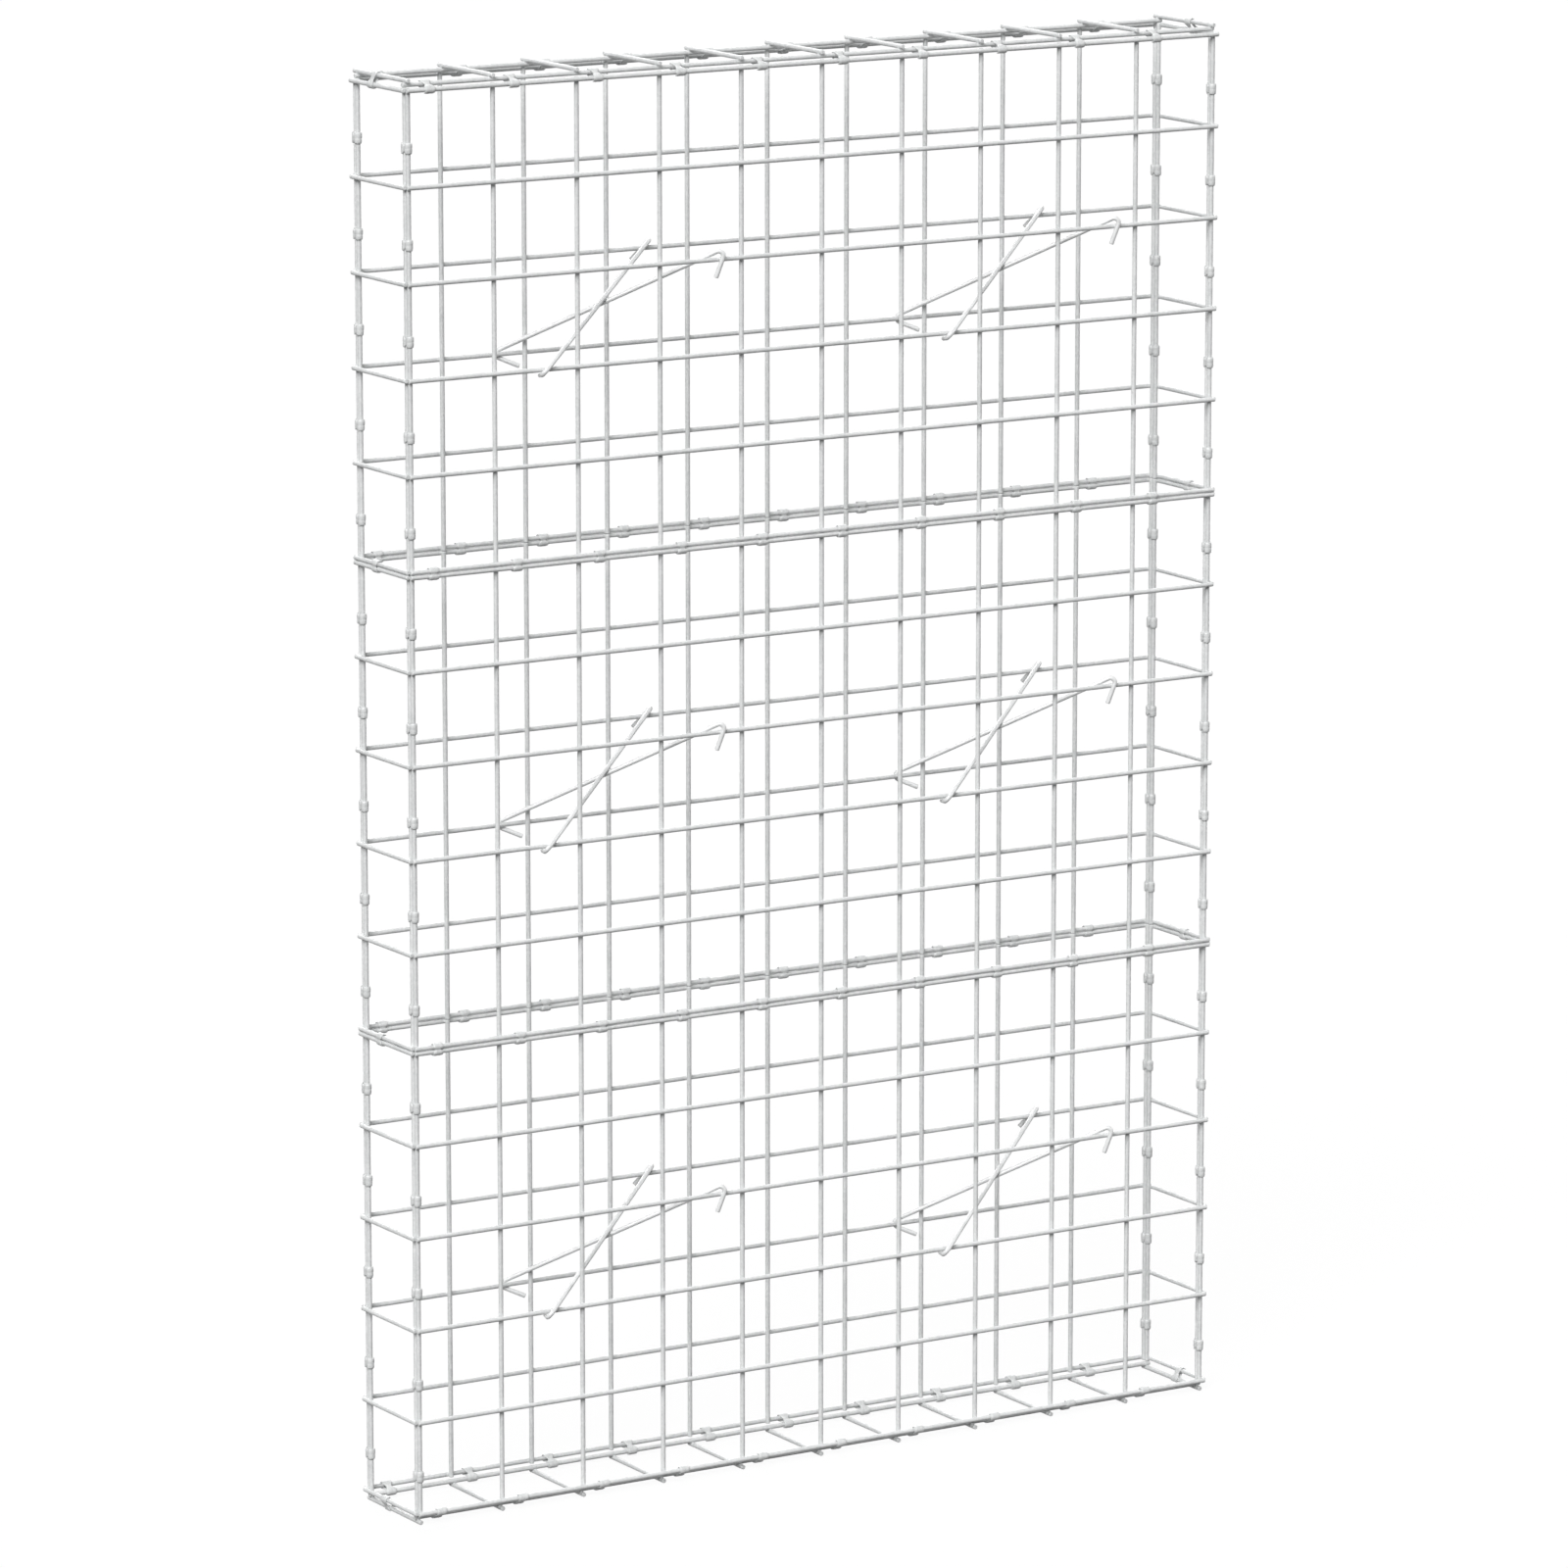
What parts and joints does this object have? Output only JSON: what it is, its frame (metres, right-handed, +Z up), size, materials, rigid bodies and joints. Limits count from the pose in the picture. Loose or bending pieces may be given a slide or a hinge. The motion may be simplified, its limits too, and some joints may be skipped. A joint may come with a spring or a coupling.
{
  "type": "gabion wall",
  "caption": "Empty gabion wall of welded galvanised wire mesh: stacked cages bound together with rings, closed by a mesh lid and base, with hooked tie rods across the inside.",
  "frame": {"origin": "ground level under the middle of the wall, on the underside of the middle cross wire of the base", "axes": "+X along the wall to the right as seen from the front, +Y from front to back, +Z up"},
  "size_m": [1.0192, 0.1441, 1.5369],
  "materials": {
    "mesh_wire": "galvanised, matt",
    "tie_wire": "galvanised, matt",
    "ring_wire": "galvanised, matt"
  },
  "bodies": {
    "root": {"front_panel_lower": "mesh_wire", "back_panel_lower": "mesh_wire", "left_end_lower": "mesh_wire", "right_end_lower": "mesh_wire", "front_panel_middle": "mesh_wire", "back_panel_middle": "mesh_wire", "left_end_middle": "mesh_wire", "right_end_middle": "mesh_wire", "front_panel_upper": "mesh_wire", "back_panel_upper": "mesh_wire", "left_end_upper": "mesh_wire", "right_end_upper": "mesh_wire", "base_panel": "mesh_wire", "lid_panel": "mesh_wire", "rear_tie_lower_left": "tie_wire", "front_tie_lower_left": "tie_wire", "rear_tie_lower_right": "tie_wire", "front_tie_lower_right": "tie_wire", "rear_tie_middle_left": "tie_wire", "front_tie_middle_left": "tie_wire", "rear_tie_middle_right": "tie_wire", "front_tie_middle_right": "tie_wire", "rear_tie_upper_left": "tie_wire", "front_tie_upper_left": "tie_wire", "rear_tie_upper_right": "tie_wire", "front_tie_upper_right": "tie_wire", "rings_base_front": "ring_wire", "rings_base_back": "ring_wire", "rings_lower_joint_front": "ring_wire", "rings_lower_joint_back": "ring_wire", "rings_upper_joint_front": "ring_wire", "rings_upper_joint_back": "ring_wire", "rings_lid_front": "ring_wire", "rings_lid_back": "ring_wire", "rings_front_left": "ring_wire", "rings_front_right": "ring_wire", "rings_back_left": "ring_wire", "rings_back_right": "ring_wire", "rings_left_end": "ring_wire", "rings_right_end": "ring_wire"}
  },
  "joints": []
}
